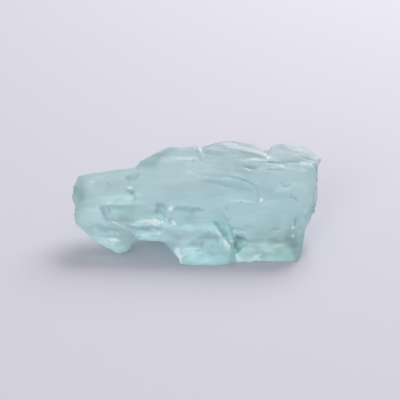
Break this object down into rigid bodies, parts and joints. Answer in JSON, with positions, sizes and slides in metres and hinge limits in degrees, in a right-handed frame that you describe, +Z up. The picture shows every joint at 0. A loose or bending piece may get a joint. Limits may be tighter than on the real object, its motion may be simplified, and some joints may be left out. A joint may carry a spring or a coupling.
{
  "type": "raw emerald",
  "caption": "Rough, translucent chip of pale blue-green beryl with ledges, chips and shallow pits, resting on its flat underside.",
  "frame": {"origin": "bottom centre of the chip's bounding box, on the surface it rests on", "axes": "+X along the crystal's length, towards the blunt squarer end; +Z up; the broad sloping face looks towards -Y"},
  "size_m": [0.0298, 0.0124, 0.0117],
  "materials": {
    "pale_beryl": "natural broken crystal, glassy with a faint frost"
  },
  "bodies": {
    "root": {"raw_emerald": "pale_beryl"}
  },
  "joints": []
}
